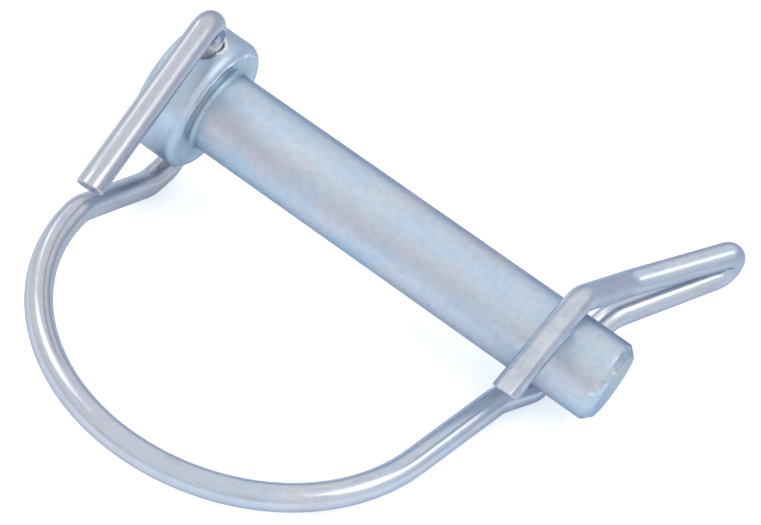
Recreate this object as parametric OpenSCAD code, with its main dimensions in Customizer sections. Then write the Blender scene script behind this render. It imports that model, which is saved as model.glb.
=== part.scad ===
// Wire lock pin: a headed clevis pin with a cross-hole through its head, and one round
// spring wire that hangs in the hole, runs round in a wide loop and clips over the shank.
//
// Construction frame: origin on the pin's axis in the plane of the head's underside,
// +X along the shank to the tip, the loop lies towards -Y, the cross-hole runs along Z.
// The finished part is then turned about Y by rest_tilt, so that it lies on a surface
// on the wire's two low points, and +Z is up.

/* [Pin] */
// Diameter of the shank
shank_d = 9.525; // [6:0.005:12.4]
// Length of the shank from the head's underside to the tip
shank_len = 52.9; // [44:0.1:70]
// Chamfer on the tip
tip_chamfer = 0.9; // [0.3:0.1:2]
// Diameter of the head
head_d = 15.9; // [13.1:0.05:20]
// Length of the head
head_len = 6.35; // [5.3:0.05:9]
// Radius of the head's rim on the shank's side
head_edge = 1.15; // [0.2:0.05:1.3]
// Radius of the head's back rim
back_edge = 0.8; // [0.2:0.05:1.2]
// Radius of the fillet between head and shank
neck_r = 0.5; // [0.2:0.05:1]

/* [Cross-hole] */
// Play of the wire in its hole, on the diameter
hole_play = 0.5; // [0.2:0.05:1]
// Distance of the hole's axis from the head's underside
hole_back = 3.45; // [3.3:0.05:3.7]
// Lean of the worn upper mouth towards the loop, in degrees
mouth_lean = 17; // [0:1:22]

/* [Wire] */
// Diameter of the wire
wire_d = 3.0; // [2:0.05:3.6]
// Centre-line radius of the easy bends
bend_r = 5; // [4:0.25:6]
// Clearance between the wire and the shank on either side
shank_gap = 0.09; // [0.05:0.01:0.5]
// Chamfer on the cut ends
end_chamfer = 0.1; // [0.05:0.05:0.5]

/* [Head end of the wire] */
// Rise of the bend above the head, from the head's top to the wire's underside
over_gap = 3.5; // [1:0.1:5]
// Gap between the head's bottom and the wire that passes under it
under_gap = 1.8; // [0.5:0.1:3]
// Reach of the free leg out past the pin's axis
leg_reach = 26.7; // [18:0.1:32]
// Drift of the free leg's end towards the tip
leg_drift = 5; // [0:0.1:8]
// Drop of the free leg's end
leg_drop = 4; // [0:0.1:6]
// Length of straight wire under the head
foot_len = 4.9; // [4:0.1:8]

/* [Loop] */
// Distance from the pin's axis to the far side of the loop's centre line
loop_reach = 39; // [32:0.5:50]
// How much wider the loop's radius is on the tip side than on the head side
loop_swell = 1.2; // [0:0.1:3]
// Lean of the loop's straight near the head, in degrees
lean_head = 6; // [0:0.5:12]
// Lean of the loop's straight near the tip, in degrees
lean_tip = 8.2; // [4:0.2:14]

/* [Clip] */
// Distance from the tip back to where the clip crosses the shank
clip_back = 7.4; // [5:0.1:14]
// Reach of the clip's free leg past the pin's axis
clip_leg = 14.9; // [8:0.1:20]
// Reach of the closed finger grip on the other side of the shank
grip_reach = 26.1; // [20:0.1:34]
// Sideways lean of the closed grip over its length
grip_lean = 8; // [0:0.5:12]

/* [Hidden] */
$fn = 96;

shank_r = shank_d / 2;
head_r = head_d / 2;
wire_r = wire_d / 2;
hole_d = wire_d + hole_play;
hole_x = -hole_back;
clip_x = shank_len - clip_back;

// heights of the wire's centre line, from the pin's axis
over_z = head_r + over_gap + wire_r;         // bend above the head
under_z = -(head_r + under_gap + wire_r);    // wire under the head
low_z = -(shank_r + shank_gap + wire_r);     // the loop and the clip's lower leg
high_z = shank_r + shank_gap + wire_r;       // the clip's upper leg
pinch_z = wire_r + 0.27;                     // half the spacing of the legs at the grip's end
pinch_r = wire_r + 0.12;                     // bend radius there, as tight as wire goes
open_z = wire_r + 1;                         // half the spacing where the legs part
ball_over = 0.006;                           // the joining balls stand this proud of the wire
ball_gap = 0.04;                             // and the wire stops this short inside them

// the clip's corners: the legs close again behind the shank and stop against it
clip_in = [clip_x - 1.9, -5.3];              // loop's straight meets the clip
clip_mid = [clip_x + 0.1, -0.8];
clip_low = [clip_x - 0.1, shank_r - 2.76];   // lower leg starts to close
clip_high = [clip_x - 0.18, shank_r - 3.16]; // upper leg starts to close
part_low = clip_low + [1.84, 9.15];          // legs part here
part_high = clip_high + [1.69, 9.7];
grip_end = [clip_x + grip_lean, grip_reach];
clip_end = [clip_x + 0.66, -clip_leg];

// the loop is two arcs that meet at its far side, loop_reach away; each touches a straight
head_line = [hole_x - 0.48, -17.37];         // a point on the straight near the head
head_share = (1 - sin(lean_head)) / cos(lean_head);
tip_share = (1 - sin(lean_tip)) / cos(lean_tip);
loop_r = (clip_in[0] - head_line[0] - tan(lean_head) * (loop_reach + head_line[1])
          - tan(lean_tip) * (loop_reach + clip_in[1]) - loop_swell * tip_share)
         / (head_share + tip_share);
tip_r = loop_r + loop_swell;
loop_x = head_line[0] + tan(lean_head) * (loop_reach + head_line[1]) + loop_r * head_share;
head_centre = [loop_x, loop_r - loop_reach, low_z];
tip_centre = [loop_x, tip_r - loop_reach, low_z];
loop_start = head_centre + loop_r * [-cos(lean_head), -sin(lean_head), 0];
loop_end = tip_centre + tip_r * [cos(lean_tip), -sin(lean_tip), 0];
// the rising ramp from under the head ends just before the arc
ramp_top = loop_start + 1.3 * [-sin(lean_head), cos(lean_head), 0];

// corners of the wire's centre line on the head side, and the bend radius at each
head_path = [
    [hole_x + leg_drift, -leg_reach, over_z - leg_drop],
    [hole_x, 0, over_z],
    [hole_x, 0, under_z],
    [hole_x + 0.15, -foot_len, under_z],
    ramp_top,
    loop_start,
];
head_bends = [0, wire_r + 2.2, wire_r + 0.4, bend_r, bend_r];

// corners on the tip side
tip_path = [
    loop_end,
    [clip_in[0], clip_in[1], low_z],
    [clip_mid[0], clip_mid[1], low_z],
    [clip_low[0], clip_low[1], low_z],
    [part_low[0], part_low[1], -open_z],
    [grip_end[0], grip_end[1], -pinch_z],
    [grip_end[0], grip_end[1], pinch_z],
    [part_high[0], part_high[1], open_z],
    [clip_high[0], clip_high[1], high_z],
    [clip_end[0], clip_end[1], high_z],
];
tip_bends = [0, 4, 3.4, 3.4, bend_r, pinch_r, pinch_r, bend_r, bend_r];

// angle at which the wire's low points, under the head and at the clip, stand level
foot_x = hole_x;
toe_x = clip_x - 0.25;
rest_tilt = atan((low_z - under_z) / (toe_x - foot_x));

function unit(v) = v / norm(v);
// how far a bend of radius r at corner b reaches along its straights
function tail(a, b, c, r) =
    let (turn = acos(max(-1, min(1, unit(b - a) * unit(c - b))))) r * tan(turn / 2);
// points of a corner arc in a turned profile
function rim(x, y, r, from, to) =
    [for (i = [0:6]) let (t = from + (to - from) * i / 6) [x + r * cos(t), y + r * sin(t)]];

// places its children with their X, Y and Z along u, v and w at point p
module place(p, u, v, w) {
    multmatrix([[u[0], v[0], w[0], p[0]], [u[1], v[1], w[1], p[1]], [u[2], v[2], w[2], p[2]],
                [0, 0, 0, 1]]) children();
}

// ball that joins two lengths of wire; its poles, along Z, lie inside them
module ball() {
    sphere(r = wire_r + ball_over);
}

// straight wire from a to b; an end that is cut is chamfered, and one that goes on into
// a bend stops just short of it, inside a ball that joins the two
module straight(a, b, cut_a = false, cut_b = false) {
    w = unit(b - a);
    side = abs(w[2]) < 0.9 ? [0, 0, 1] : [1, 0, 0];
    u = unit(cross(side, w));
    c = end_chamfer;
    low = cut_a ? c : ball_gap;
    high = norm(b - a) - (cut_b ? c : ball_gap);
    place(a, u, cross(w, u), w) {
        translate([0, 0, low]) cylinder(h = high - low, r = wire_r);
        if (cut_a) cylinder(h = c, r1 = wire_r - c, r2 = wire_r);
        else ball();
        if (cut_b) translate([0, 0, high]) cylinder(h = c, r1 = wire_r, r2 = wire_r - c);
        else translate([0, 0, norm(b - a)]) ball();
    }
}

// arc of wire in the plane of u and v about point p, from 0 to turn degrees
module arc(p, u, v, r, turn) {
    place(p, u, v, cross(u, v))
        rotate_extrude(angle = turn) translate([r, 0]) circle(r = wire_r);
}

// bend of radius r that rounds corner b between a and c
module bend(a, b, c, r) {
    to_a = unit(a - b);
    to_c = unit(c - b);
    turn = acos(max(-1, min(1, -(to_a * to_c))));
    middle = b + unit(to_a + to_c) * r / cos(turn / 2);
    u = unit(b + to_a * r * tan(turn / 2) - middle);
    arc(middle, u, -to_a, r, turn);
}

// wire along corners p with bend radii r; the first or last end can be a cut end
module run(p, r, cut_first = false, cut_last = false) {
    n = len(p);
    for (i = [0 : n - 2]) {
        d = unit(p[i + 1] - p[i]);
        from = i == 0 ? 0 : tail(p[i - 1], p[i], p[i + 1], r[i]);
        to = i == n - 2 ? 0 : tail(p[i], p[i + 1], p[i + 2], r[i + 1]);
        straight(p[i] + d * from, p[i + 1] - d * to,
                 cut_first && i == 0, cut_last && i == n - 2);
        if (i > 0) bend(p[i - 1], p[i], p[i + 1], r[i]);
    }
}

// the finished part lies on the wire's low points
module at_rest() {
    rotate([0, rest_tilt, 0]) children();
}

// headed pin, turned in one piece, with the cross-hole through its head
module pin() {
    color([0.80, 0.85, 0.90]) at_rest() difference() {
        rotate([0, 90, 0]) rotate_extrude() polygon(concat(
            [[0, -head_len]],
            rim(head_r - back_edge, -head_len + back_edge, back_edge, -90, 0),
            rim(head_r - head_edge, -head_edge, head_edge, 0, 90),
            rim(shank_r + neck_r, neck_r, neck_r, 270, 180),
            [[shank_r, shank_len - tip_chamfer], [shank_r - tip_chamfer, shank_len],
             [0, shank_len]]));
        translate([hole_x, 0, 0]) cylinder(h = head_d + 2, r = hole_d / 2, center = true);
        translate([hole_x, 0, head_r - 4]) rotate([mouth_lean, 0, 0])
            cylinder(h = 8, r = hole_d / 2 - 0.06);
    }
}

// one length of round spring wire: free leg over the head, through the cross-hole,
// out under the head, round the loop, under the shank, back over it and cut off
module lock_wire() {
    color([0.78, 0.80, 0.84]) at_rest() {
        run(head_path, head_bends, cut_first = true);
        arc(head_centre, [-cos(lean_head), -sin(lean_head), 0],
            [sin(lean_head), -cos(lean_head), 0], loop_r,
            90 - lean_head - ball_gap / loop_r * 180 / PI);
        translate([loop_x, -loop_reach, low_z]) rotate([0, 90, 0]) ball();
        arc(tip_centre, [0, -1, 0], [1, 0, 0], tip_r, 90 - lean_tip);
        run(tip_path, tip_bends, cut_last = true);
    }
}

pin();
lock_wire();
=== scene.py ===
"""Wire lock pin: zinc plated headed pin with its spring wire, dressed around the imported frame."""
import math

import bmesh
import bpy
from mathutils import Matrix, Quaternion, Vector


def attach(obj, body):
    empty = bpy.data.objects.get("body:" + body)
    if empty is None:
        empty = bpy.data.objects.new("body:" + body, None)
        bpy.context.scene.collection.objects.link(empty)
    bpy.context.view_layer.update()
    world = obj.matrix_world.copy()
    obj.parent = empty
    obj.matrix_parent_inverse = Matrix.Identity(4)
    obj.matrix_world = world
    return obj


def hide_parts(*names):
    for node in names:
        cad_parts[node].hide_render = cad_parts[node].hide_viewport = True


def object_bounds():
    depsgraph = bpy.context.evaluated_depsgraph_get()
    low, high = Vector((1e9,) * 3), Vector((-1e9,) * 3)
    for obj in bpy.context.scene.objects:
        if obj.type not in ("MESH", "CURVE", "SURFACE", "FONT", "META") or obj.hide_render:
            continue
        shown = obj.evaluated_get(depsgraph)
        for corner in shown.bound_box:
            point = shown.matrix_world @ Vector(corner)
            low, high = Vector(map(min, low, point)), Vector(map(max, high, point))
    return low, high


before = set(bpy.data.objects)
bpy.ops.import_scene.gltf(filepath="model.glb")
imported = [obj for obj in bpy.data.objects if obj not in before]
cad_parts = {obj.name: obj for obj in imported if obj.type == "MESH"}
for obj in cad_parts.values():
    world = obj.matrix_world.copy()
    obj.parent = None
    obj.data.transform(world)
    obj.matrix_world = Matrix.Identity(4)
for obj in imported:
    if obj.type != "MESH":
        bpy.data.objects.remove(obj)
cad_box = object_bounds()

MM = 0.001


# ---------------------------------------------------------------- shader maths

class Wave:
    """A socket that Python's operators work on, each adding one Math node."""

    def __init__(self, tree, socket):
        self.tree, self.socket = tree, socket

    def _maths(self, operation, a, b=None):
        node = self.tree.nodes.new("ShaderNodeMath")
        node.operation = operation
        for slot, value in zip(node.inputs, (a, b)):
            if isinstance(value, Wave):
                self.tree.links.new(value.socket, slot)
            elif value is not None:
                slot.default_value = value
        return Wave(self.tree, node.outputs[0])

    def __add__(self, other):
        return self._maths("ADD", self, other)

    def __sub__(self, other):
        return self._maths("SUBTRACT", self, other)

    def __rsub__(self, other):
        return self._maths("SUBTRACT", other, self)

    def __mul__(self, other):
        return self._maths("MULTIPLY", self, other)

    def __truediv__(self, other):
        return self._maths("DIVIDE", self, other)

    __radd__, __rmul__ = __add__, __mul__

    def size(self):
        return self._maths("ABSOLUTE", self)

    def angle(self, other):
        """The angle of the point (other, self) from the first axis, in radians."""
        return self._maths("ARCTAN2", self, other)

    def root(self):
        return self._maths("SQRT", self)

    def step(self, start, end):
        """0 below start and 1 past end, with a soft passage between."""
        node = self.tree.nodes.new("ShaderNodeMapRange")
        node.interpolation_type = "SMOOTHSTEP"
        node.inputs["From Min"].default_value = start
        node.inputs["From Max"].default_value = end
        self.tree.links.new(self.socket, node.inputs["Value"])
        return Wave(self.tree, node.outputs["Result"])


class Finish:
    """The node tree of a material or the world: node() adds any node, the rest its common uses."""

    def __init__(self, owner):
        self.owner = owner
        owner.use_nodes = True
        self.tree = owner.node_tree
        self.tree.nodes.clear()

    def node(self, kind, settings=None, stops=None, **inputs):
        made = self.tree.nodes.new(kind)
        for key, value in (settings or {}).items():
            setattr(made, key, value)
        if stops:
            ramp = made.color_ramp
            while len(ramp.elements) > 1:
                ramp.elements.remove(ramp.elements[-1])
            ramp.elements[0].position = stops[0][0]
            ramp.elements[0].color = (*stops[0][1], 1)
            for place, colour in stops[1:]:
                ramp.elements.new(place).color = (*colour, 1)
        for key, value in inputs.items():
            slot = made.inputs[int(key[1:]) if key[0] == "_" else key.replace("_", " ")]
            if isinstance(value, Wave):
                self.tree.links.new(value.socket, slot)
            else:
                slot.default_value = value
        return made

    def wave(self, kind, settings=None, output=0, **inputs):
        return Wave(self.tree, self.node(kind, settings, **inputs).outputs[output])

    def noise(self, where, size, detail=3.0, rough=0.55, stretch=(1, 1, 1)):
        """Noise from 0 to 1 whose lumps are about size metres across."""
        place = self.wave("ShaderNodeMapping", Vector=where, Scale=stretch)
        return self.wave("ShaderNodeTexNoise", Vector=place, Scale=1 / size,
                         Detail=detail, Roughness=rough)

    def mix(self, factor, first, second):
        """Colour mix; an input is a colour or the colour of another node."""
        made = self.node("ShaderNodeMix", {"data_type": "RGBA"})
        for slot, value in ((made.inputs[0], factor), (made.inputs[6], first),
                            (made.inputs[7], second)):
            if isinstance(value, Wave):
                self.tree.links.new(value.socket, slot)
            else:
                slot.default_value = value if slot == made.inputs[0] else (*value, 1)
        return Wave(self.tree, made.outputs[2])

    def parts(self, vector):
        """The X, Y and Z of a vector."""
        split = self.node("ShaderNodeSeparateXYZ", Vector=vector)
        return [Wave(self.tree, socket) for socket in split.outputs]

    def close(self, shader, kind="ShaderNodeOutputMaterial"):
        out = self.node(kind)
        self.tree.links.new(shader.outputs[0], out.inputs["Surface"])
        return self.owner


def hump(value, centre, half, soft):
    """1 within half of centre, and 0 from soft further out."""
    return 1 - (value - centre).size().step(half, half + soft)


def tone(red, green, blue):
    """A colour named by its 0 to 255 screen values, as the shader's linear values."""
    return tuple((v / 255) ** 2.2 for v in (red, green, blue))


# ------------------------------------------------------------------- camera

def build_camera():
    data = bpy.data.cameras.new("camera")
    data.lens, data.sensor_width = 121.84, 36
    data.clip_start, data.clip_end = 0.01, 10
    camera = bpy.data.objects.new("camera", data)
    # place and axes on the pin's axis: right, up and back as the columns
    place = Vector((85.1227, -186.9024, 194.8218)) * MM
    axes = Matrix(((0.79706846, -0.56309703, 0.21818252),
                   (0.54311881, 0.51048026, -0.66665723),
                   (0.26401484, 0.64987048, 0.71271630)))
    turned = (ON_TABLE @ axes).to_quaternion()
    camera.matrix_world = Matrix.LocRotScale(ON_TABLE @ place, turned, None)
    bpy.context.scene.collection.objects.link(camera)
    bpy.context.scene.camera = camera


# --------------------------------------------------------------- wire route

# mm on the pin's axis, from the head's underside
shank_r, shank_len, head_r, wire_r = 4.7625, 52.9, 7.95, 1.5
hole_x, clip_x = -3.45, 45.5
over_z = head_r + 3.5 + wire_r
under_z = -(head_r + 1.8 + wire_r)
low_z = -(shank_r + 0.09 + wire_r)
high_z = -low_z
pinch_z, pinch_r, open_z = wire_r + 0.27, wire_r + 0.12, wire_r + 1
leg_reach, leg_drift, leg_drop, foot_len = 26.7, 5, 4, 4.9
grip_reach, grip_lean, clip_leg = 26.1, 8, 14.9
# a point in plan that the loop's side by the head runs through
loop_side = Vector((hole_x - 0.48, -17.37))
loop_reach, loop_swell = 39.0, 1.2
lean_head, lean_tip = math.radians(6), math.radians(8.2)
clip_in = Vector((clip_x - 1.9, -5.3, low_z))

# the part lies on the wire's low points, under the head and at the clip
TILT = math.atan((low_z - under_z) / (clip_x - 0.25 - hole_x))
ON_TABLE = Matrix.Rotation(TILT, 3, "Y")


def loop_arcs():
    """Centre and radius of the loop's two arcs, which meet at its far side."""
    head_share = (1 - math.sin(lean_head)) / math.cos(lean_head)
    tip_share = (1 - math.sin(lean_tip)) / math.cos(lean_tip)
    head_run = math.tan(lean_head) * (loop_reach + loop_side.y)
    radius = ((clip_in.x - loop_side.x - head_run
               - math.tan(lean_tip) * (loop_reach + clip_in.y) - loop_swell * tip_share)
              / (head_share + tip_share))
    x = loop_side.x + head_run + radius * head_share
    return [(Vector((x, r - loop_reach, low_z)), r) for r in (radius, radius + loop_swell)]


def wire_route():
    """Corners of the wire's centre line with the bend radius at each, in mm on the pin's axis."""
    arc = []
    steps = 40
    for (centre, radius), start, end in zip(loop_arcs(), (math.pi + lean_head, 1.5 * math.pi),
                                            (1.5 * math.pi, 2 * math.pi - lean_tip)):
        for i in range(steps + 1):
            angle = start + (end - start) * i / steps
            arc.append(centre + radius * Vector((math.cos(angle), math.sin(angle), 0)))
    ramp_top = arc[0] + 1.3 * Vector((-math.sin(lean_head), math.cos(lean_head), 0))
    before = [
        ((hole_x + leg_drift, -leg_reach, over_z - leg_drop), 0),
        ((hole_x, 0, over_z), wire_r + 2.2),
        ((hole_x, 0, under_z), wire_r + 0.4),
        ((hole_x + 0.15, -foot_len, under_z), 5),
        (ramp_top, 5),
    ]
    after = [
        (clip_in, 4),
        ((clip_x + 0.1, -0.8, low_z), 3.4),
        ((clip_x - 0.1, shank_r - 2.76, low_z), 3.4),
        ((clip_x + 1.74, shank_r + 6.39, -open_z), 5),
        ((clip_x + grip_lean, grip_reach, -pinch_z), pinch_r),
        ((clip_x + grip_lean, grip_reach, pinch_z), pinch_r),
        ((clip_x + 1.51, shank_r + 6.54, open_z), 5),
        ((clip_x - 0.18, shank_r - 3.16, high_z), 5),
        ((clip_x + 0.66, -clip_leg, high_z), 0),
    ]
    return before, arc, after


def rounded(corners, spacing=0.5, turn_step=math.radians(5)):
    """Points along corners whose bends are rounded to their radius."""
    points = [Vector(p) for p, _ in corners]
    out = [points[0]]
    for i in range(1, len(points) - 1):
        radius = corners[i][1]
        to_last = (points[i - 1] - points[i]).normalized()
        to_next = (points[i + 1] - points[i]).normalized()
        turn = math.pi - to_last.angle(to_next)
        if radius <= 0 or turn < 1e-4:
            out.append(points[i])
            continue
        tail = radius * math.tan(turn / 2)
        middle = points[i] + (to_last + to_next).normalized() * radius / math.cos(turn / 2)
        first = points[i] + to_last * tail - middle
        axis = first.cross(-to_last)
        steps = max(2, math.ceil(turn / turn_step))
        out += [middle + Quaternion(axis, turn * k / steps) @ first for k in range(steps + 1)]
    out.append(points[-1])
    dense = [out[0]]
    for point in out[1:]:
        gap = point - dense[-1]
        pieces = max(1, math.ceil(gap.length / spacing))
        start = dense[-1]
        dense += [start + gap * k / pieces for k in range(1, pieces + 1)]
    return dense


def centre_line():
    before, arc, after = wire_route()
    line = rounded(before + [(arc[0], 0)]) + arc[1:-1] + rounded([(arc[-1], 0)] + after)
    clean = [line[0]]
    for point in line[1:]:
        if (point - clean[-1]).length > 0.02:
            clean.append(point)
    return clean


def length(line):
    return sum((b - a).length for a, b in zip(line, line[1:]))


AROUND = 56
# clear of points next to a cut end, so that its slanted ring doesn't cross them
END_CLEAR = 1.6
# how far the cut ends run on past the middle of a square cut, and how far they lean under
LEG_CUT = (0.9, math.radians(25))
CLIP_CUT = (0.45, math.radians(41))
# the last stretch of the clip's leg is pressed flat on top, by PRESS_DEEP at its middle
PRESS_LONG, PRESS_RUN, PRESS_DEEP = 6.0, 3, 0.1
PRESS_WAY = Vector((0.2, 0, 0.98)).normalized()


def slanted(ring, middle, way, cut):
    """Moves a ring of wire along way onto the plane of a cut that leans under."""
    past, lean = cut
    under = (Vector((0, 0, -1)) + way * way.z).normalized()
    normal = way * math.cos(lean) + under * math.sin(lean)
    target = middle + way * past
    for v in ring:
        v.co += way * ((target - v.co).dot(normal) / way.dot(normal))


def build_wire():
    """The wire as one tube swept along its centre line, with length and turn in its UV map."""
    line = centre_line()
    start, end = line[0], line[-1]
    inner = [p for p in line if min((p - start).length, (p - end).length) > END_CLEAR]
    line = [start, *inner, end]
    mesh = bmesh.new()
    uv = mesh.loops.layers.uv.new("wire")
    ring = bmesh.ops.create_circle(mesh, segments=AROUND, radius=wire_r)["verts"]
    tangents = []
    for i, point in enumerate(line):
        last, coming = line[max(i - 1, 0)], line[min(i + 1, len(line) - 1)]
        tangents.append((coming - last).normalized())
    turn = Vector((0, 0, 1)).rotation_difference(tangents[0])
    offsets = [turn @ v.co for v in ring]
    for v, off in zip(ring, offsets):
        v.co = line[0] + off
    along = 0.0
    whole = length(line)
    edges = list({e for v in ring for e in v.link_edges})
    start_ring = ring
    for i in range(1, len(line)):
        along_last, along = along, along + (line[i] - line[i - 1]).length
        made = bmesh.ops.extrude_edge_only(mesh, edges=edges)["geom"]
        new = [g for g in made if isinstance(g, bmesh.types.BMVert)]
        edges = [g for g in made if isinstance(g, bmesh.types.BMEdge)]
        twist = tangents[i - 1].rotation_difference(tangents[i])
        offsets = [twist @ off for off in offsets]
        pressed = PRESS_DEEP * min(1, max(0, (along - whole + PRESS_LONG) / PRESS_RUN))
        # extrude keeps the verts' order, so each new vert follows its own offset
        for v, off in zip(new, offsets):
            over = off.dot(PRESS_WAY) - (wire_r - pressed)
            v.co = line[i] + off - PRESS_WAY * max(0, over)
        faces = [g for g in made if isinstance(g, bmesh.types.BMFace)]
        ranks = {v: (k, along) for k, v in enumerate(new)}
        ranks.update({v: (k, along_last) for k, v in enumerate(ring)})
        for face in faces:
            ks = [ranks[loop.vert][0] for loop in face.loops]
            wrap = max(ks) - min(ks) > AROUND / 2
            for loop in face.loops:
                k, far = ranks[loop.vert]
                k = AROUND if wrap and k == 0 else k
                loop[uv].uv = (far, k / AROUND)
        ring = new
    slanted(start_ring, line[0], -tangents[0], LEG_CUT)
    slanted(ring, line[-1], tangents[-1], CLIP_CUT)
    caps = [bmesh.ops.contextual_create(mesh, geom=list(end_ring))["faces"][0]
            for end_ring in (start_ring, ring)]
    bmesh.ops.bevel(mesh, geom=[e for cap in caps for e in cap.edges], offset=0.22, segments=4,
                    affect="EDGES", profile=0.5, material=-1, clamp_overlap=True)
    return mesh


def finish_mesh(mesh, name):
    """Turns a shape in mm on the pin's axis into an object in metres, lying on the table."""
    bmesh.ops.transform(mesh, matrix=(ON_TABLE * MM).to_4x4(), verts=mesh.verts)
    bmesh.ops.recalc_face_normals(mesh, faces=mesh.faces)
    for face in mesh.faces:
        face.smooth = len(face.verts) < 5
    data = bpy.data.meshes.new(name)
    mesh.to_mesh(data)
    mesh.free()
    made = bpy.data.objects.new(name, data)
    bpy.context.scene.collection.objects.link(made)
    return made


# ---------------------------------------------------------------- finishes

# tint of the reflection at grazing angles
PIN_EDGE = (0.52, 0.60, 0.66, 1)
WIRE_EDGE = (0.60, 0.68, 0.75, 1)


def zinc_pin():
    """Satin zinc, mottled blue and pink, with the marks of heading and drilling, and painted light:
    reflection bands along the shank, blue-green shade on the head, shade in the neck and inside the
    pressed line, and highlights on the head's face, along the pressed line, on the tip's rim and on
    the hole's edge.
    """
    f = Finish(bpy.data.materials.new("bright_zinc_pin"))
    table = f.wave("ShaderNodeTexCoord", output=3)
    # the same point in mm on the pin's own axis, and its turn round it from the top
    own = f.wave("ShaderNodeMapping", Vector=table, Rotation=(0, -TILT, 0), Scale=(1000,) * 3)
    x, y, z = f.parts(own)
    away = (y * y + z * z).root()
    around = (y * -1).angle(z)
    clouds = f.noise(table, 7 * MM, detail=4)
    patches = f.noise(own, 3.2, detail=4, stretch=(0.45, 1, 1))
    fine = f.noise(table, 0.8 * MM, detail=5)
    grain = f.noise(table, 0.12 * MM, detail=2)

    # painted reflection bands that run along the shank, lighter and darker, painted blue-green
    # shade on the head, and the mottling
    shank = x.step(0.4, 1.4)
    tint = f.mix(clouds.step(0.38, 0.62), tone(190, 207, 224), tone(199, 209, 219))
    # painted highlight: a lighter band along the shank's side that faces the camera
    painted_sheen_band = hump(around, 0.80, 0.10, 0.30) * shank
    tint = f.mix(painted_sheen_band * 0.5, tint, tone(200, 206, 212))
    # painted reflection: a darker pinkish band along the shank, broken up by the patches
    painted_dark_band = hump(around, 1.05, 0.10, 0.30) * patches.step(0.42, 0.58) * shank
    tint = f.mix(painted_dark_band * 0.45, tint, tone(186, 185, 197))
    # painted shade: blue-green on the head's side, where the wire's leg shades it and shows in it
    painted_teal_shade = (1 - x.step(-1.6, -0.6)) * patches.step(0.35, 0.6) * hump(around, 0.75, 0.2, 0.5)
    tint = f.mix(painted_teal_shade * 0.5, tint, tone(158, 190, 202))
    # painted shade: a dark reflection band along the far top of the shank
    painted_edge_shade = hump(around, -0.72, 0.22, 0.26) * shank
    tint = f.mix(painted_edge_shade * 0.7, tint, tone(158, 163, 186))
    pink = patches.step(0.50, 0.62) * (shank * 0.6 + 0.4)
    tint = f.mix(pink * 0.6, tint, tone(206, 203, 212))
    tint = f.mix((1 - patches.step(0.38, 0.50)) * 0.4, tint, tone(178, 202, 226))
    tint = f.mix(fine.step(0.42, 0.72) * 0.36, tint, tone(165, 182, 198))
    tint = f.mix(grain.step(0.42, 0.62) * 0.26, tint, tone(162, 174, 190))

    # painted shade in the neck's groove, painted light on the head's face, and the pressed line
    # round its rim, with painted shade on its inner side and painted highlights along it
    # painted shade in the neck's groove
    painted_groove_shade = hump(away, 5.1, 0.12, 0.9) * hump(x, 0.1, 0.3, 0.9)
    tint = f.mix(painted_groove_shade * 0.35, tint, tone(140, 165, 174))
    # painted light: a paler ring on the head's face by the shank
    painted_face_light = hump(away, 6.0, 0.5, 0.6) * hump(x, 0, 0.12, 0.1) * hump(around, 0.75, 0.2, 0.6)
    tint = f.mix(painted_face_light * 0.7, tint, tone(222, 230, 236))
    crease_and_glint = hump(away, 7.25 - fine * 0.5, 0.13, 0.12) * hump(x, -0.2, 0.5, 0.3)
    crease_and_glint = crease_and_glint * hump(around, 0.35, 0.6, 0.7)
    # painted shade: a dark line on the inner side of the pressed line
    under = hump(away, 6.92 - fine * 0.4, 0.05, 0.16) * hump(x, 0, 0.2, 0.2)
    under = under * hump(around, 0.55, 0.3, 0.5)
    tint = f.mix(under * 0.5, tint, tone(122, 140, 152))
    # the pressed line's near-white tint is a painted highlight; its bump and lower roughness shape
    # the line itself
    tint = f.mix(crease_and_glint * patches.step(0.35, 0.55), tint, tone(246, 247, 250))

    # the scuffed rim of the tip with painted highlights on it, and the thin film of colours on its
    # face
    face = x.step(shank_len - 0.12, shank_len - 0.04)
    rim = x.step(shank_len - 1.2, shank_len - 0.7) * (1 - face)
    scuff = rim * fine.step(0.50, 0.66)
    tint = f.mix(scuff * 0.3, tint, tone(150, 152, 172))
    # painted highlights: near-white spots along the tip's rim
    painted_rim_glint = rim * patches.step(0.45, 0.55) * (1 - fine.step(0.40, 0.50))
    tint = f.mix(painted_rim_glint * 0.8, tint, tone(240, 243, 248))
    slope = (y + z) / 9 + 0.5 + (clouds - 0.5) * 0.5
    film = f.wave("ShaderNodeValToRGB", Fac=slope, stops=(
        (0.05, tone(192, 194, 224)), (0.38, tone(194, 214, 232)), (0.62, tone(206, 222, 226)),
        (0.82, tone(222, 221, 208)), (1.0, tone(208, 212, 222))))
    tint = f.mix(face * 0.8, tint, film)

    # the drilled hole stays dull inside, with a torn edge whose bright tint is a painted highlight
    off = x - hole_x
    bore = (off * off + y * y).root()
    hole = 1 - (bore + (fine - 0.5) * 0.5).step(1.95, 2.10)
    torn_edge_and_glint = hump(bore + (fine - 0.5) * 1.3, 1.95, 0.14, 0.16)
    dull = f.mix(fine.step(0.4, 0.65), tone(205, 210, 216), tone(248, 248, 250))
    tint = f.mix(hole, tint, dull)
    # the torn edge's near-white tint is a painted highlight; its bump is the torn metal
    tint = f.mix(torn_edge_and_glint * 0.8, tint, tone(236, 239, 244))

    rough = 0.30 + clouds * 0.08 + fine * 0.08 - crease_and_glint * 0.2 - rim * 0.12
    height = fine * 0.5 + grain * 0.25 + patches * 0.6
    height = height + crease_and_glint * 16 + torn_edge_and_glint * 4 + rim * fine * 1.5
    rounded_edges = f.wave("ShaderNodeBevel", {"samples": 4}, Radius=0.45 * MM)
    bump = f.wave("ShaderNodeBump", Strength=0.20, Distance=0.03 * MM, Height=height,
                  Normal=rounded_edges)
    shader = f.node("ShaderNodeBsdfPrincipled", Base_Color=tint, Metallic=1 - hole * 0.85,
                    Roughness=rough, Specular_Tint=PIN_EDGE, Normal=bump)
    return f.close(shader)


# the wire's run through the head: its middle and half length, in mm along the wire
IN_HEAD = 38.4, 8.4


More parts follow.
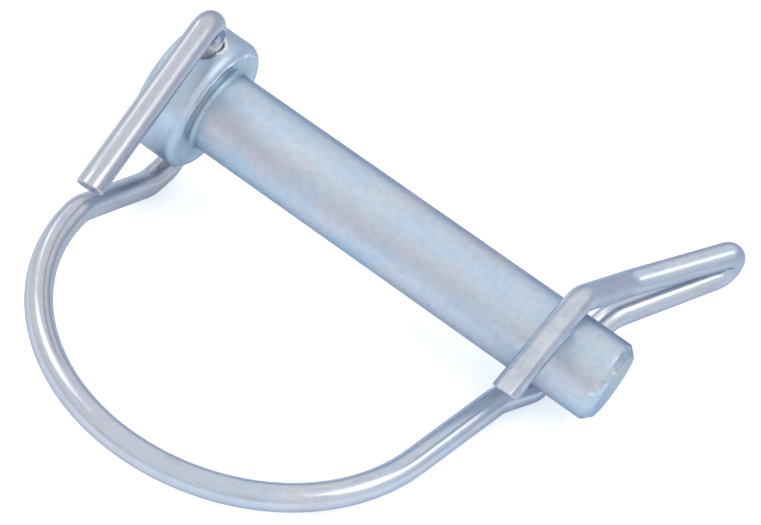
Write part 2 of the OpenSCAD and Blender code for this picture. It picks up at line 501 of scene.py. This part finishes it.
def zinc_wire(whole):
    """Drawn spring wire, whole mm long, with draw lines and a tool's marks on its last leg."""
    f = Finish(bpy.data.materials.new("bright_zinc_wire"))
    where = f.wave("ShaderNodeTexCoord", output=3)
    strip = f.wave("ShaderNodeUVMap", {"uv_map": "wire"})
    along = f.parts(strip)[0]
    clouds = f.noise(where, 5 * MM, detail=3)
    fine = f.noise(where, 0.7 * MM, detail=4)
    streaks = f.noise(strip, 1.0, detail=2, stretch=(0.25, 12, 1))
    tint = f.mix(clouds.step(0.35, 0.65), tone(187, 199, 214), tone(197, 201, 211))
    tint = f.mix(hump(along, 35, 50, 30) * 0.7, tint, tone(193, 192, 199))
    tint = f.mix(streaks.step(0.45, 0.70) * 0.40, tint, tone(176, 174, 186))
    tint = f.mix(fine.step(0.55, 0.72) * 0.3, tint, tone(212, 216, 220))
    marks = f.noise(strip, 3.0, detail=3, stretch=(1, 9, 1)) * hump(along, whole - 9, 8, 3)
    tint = f.mix(marks.step(0.42, 0.56) * 0.45, tint, tone(216, 219, 226))
    inside = hump(along, *IN_HEAD, 1.0)
    dull = f.mix(fine.step(0.40, 0.60), tone(196, 200, 206), tone(236, 238, 242))
    tint = f.mix(inside, tint, dull)
    rough = 0.19 + streaks * 0.08 + fine * 0.04 + inside * 0.3
    height = streaks + fine * 0.05 + marks * 3
    bump = f.wave("ShaderNodeBump", Strength=0.08, Distance=0.02 * MM, Height=height)
    shader = f.node("ShaderNodeBsdfPrincipled", Base_Color=tint, Metallic=1 - inside * 0.8,
                    Roughness=rough, Specular_Tint=WIRE_EDGE, Normal=bump)
    return f.close(shader)


# ------------------------------------------------------------ floor and light

# what the lamps are turned to
MIDDLE = Vector((26.4, -7.1, 0)) * MM


def build_floor():
    """A white table, painted darker beyond the part as shade for the metal to reflect, and glowing
    pale blue near the part in reflections.
    """
    mesh = bmesh.new()
    bmesh.ops.create_grid(mesh, x_segments=1, y_segments=1, size=1.5)
    data = bpy.data.meshes.new("table")
    mesh.to_mesh(data)
    mesh.free()
    data.transform(Matrix.Translation((0, 0, cad_box[0][2])))
    table = bpy.data.objects.new("table", data)
    bpy.context.scene.collection.objects.link(table)
    f = Finish(bpy.data.materials.new("white_table"))
    path = f.node("ShaderNodeLightPath").outputs
    camera, glossy, through = (Wave(f.tree, path[k]) for k in (
        "Is Camera Ray", "Is Glossy Ray", "Is Transmission Ray"))
    x, y, _ = f.parts(f.wave("ShaderNodeTexCoord", output=3))
    # painted shade: the table darker beyond the part, for the metal to reflect
    far = (x * 0.5 + y * 0.85).step(0.01, 0.10)
    colour = f.mix(far, (0.84, 0.87, 0.91), (0.60, 0.64, 0.72))
    paint = f.node("ShaderNodeBsdfDiffuse", Color=colour)
    white = f.node("ShaderNodeEmission", Color=(1, 1, 1, 1), Strength=camera * 0.48)
    # painted reflection: near the part the table glows pale blue to reflected and transmitted rays
    # only
    painted_floor_glow = f.node("ShaderNodeEmission", Color=(0.84, 0.92, 1.0, 1),
                  Strength=(glossy + through) * (1 - far) * 0.20)
    shader = paint
    for extra in (white, painted_floor_glow):
        shader = f.node("ShaderNodeAddShader", _0=Wave(f.tree, shader.outputs[0]),
                        _1=Wave(f.tree, extra.outputs[0]))
    data.materials.append(f.close(shader))


def soft_box(name, turn, height, width, depth, power, distance=1.1):
    """A lamp turned from +X and raised from the table by degrees; its size is in metres."""
    turn, height = math.radians(turn), math.radians(height)
    towards = Vector((math.cos(turn) * math.cos(height), math.sin(turn) * math.cos(height),
                      math.sin(height)))
    data = bpy.data.lights.new(name, "AREA")
    data.shape, data.size, data.size_y, data.energy = "RECTANGLE", width, depth, power
    lamp = bpy.data.objects.new(name, data)
    lamp.location = MIDDLE + towards * distance
    lamp.rotation_mode = "QUATERNION"
    lamp.rotation_quaternion = towards.to_track_quat("Z", "Y")
    bpy.context.scene.collection.objects.link(lamp)


def build_light():
    """A white studio whose walls are darker near the table, and three soft boxes."""
    world = bpy.data.worlds.new("studio")
    bpy.context.scene.world = world
    f = Finish(world)
    x, y, z = f.parts(f.wave("ShaderNodeTexCoord"))
    low = 1 - z.step(0.20, 0.50)
    colour = f.mix(low * y.step(0.1, 0.6), (0.98, 0.99, 1.0), (0.64, 0.67, 0.77))
    colour = f.mix(low * (1 - y.step(-0.6, -0.1)), colour, (0.86, 0.86, 0.88))
    f.close(f.node("ShaderNodeBackground", Color=colour), "ShaderNodeOutputWorld")
    soft_box("right_box", 26, 46, 0.62, 0.42, 1.6)
    soft_box("left_box", 181, 56, 0.50, 0.32, 1.1)
    soft_box("left_strip", 150, 32, 0.12, 0.40, 0.2)


bpy.context.scene.view_settings.view_transform = "Standard"
build_camera()
build_floor()
build_light()

wire = finish_mesh(build_wire(), "spring_wire")
wire.data.materials.append(zinc_wire(length(centre_line())))
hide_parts("lock_wire")
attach(wire, "lock_wire")

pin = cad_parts["pin"]
pin_finish = zinc_pin()
for slot in pin.material_slots:
    slot.material = pin_finish
